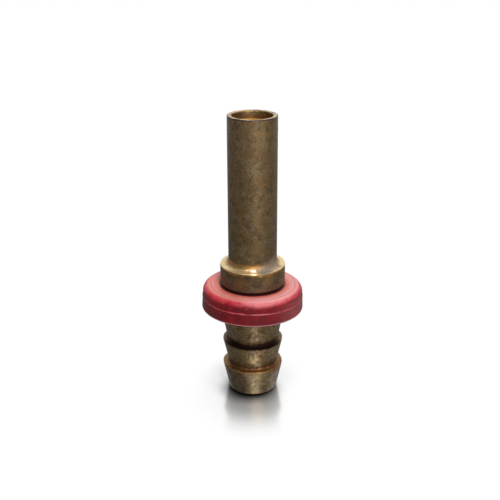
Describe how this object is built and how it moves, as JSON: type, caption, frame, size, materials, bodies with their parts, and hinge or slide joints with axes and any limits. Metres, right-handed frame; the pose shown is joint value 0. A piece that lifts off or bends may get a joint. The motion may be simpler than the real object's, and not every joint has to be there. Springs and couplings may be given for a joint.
{
  "type": "push-on hose fitting with tube stub",
  "caption": "Hose-to-tube fitting: a brass stem with hose barbs at one end, a round shoulder and a plain tube stub, and a red plastic collar that turns on its neck.",
  "frame": {"origin": "centre of the hose end's face, on the bore's axis, which is the bottom of the part as it stands", "axes": "+Z along the bore's axis, from the hose end to the tube stub's end; the collar leans towards +X; seen from -Y in the picture"},
  "size_m": [0.0201, 0.0202, 0.0565],
  "materials": {
    "aged_brass": "turned, with a brown patina, dusty and worn bright on the shoulder's fillet and the cut rim",
    "red_plastic": "moulded, satin, faded and dusty on top, with a parting line round the wall"
  },
  "bodies": {
    "stem": {"barbed_stem": "aged_brass"},
    "collar": {"hose_collar": "red_plastic"}
  },
  "joints": [
    {"name": "collar_turn", "type": "hinge", "parent": "stem", "child": "collar", "pos_m": [0, 0, 0.02162], "axis": [0.0166, 0, 0.9999], "continuous": true}
  ]
}
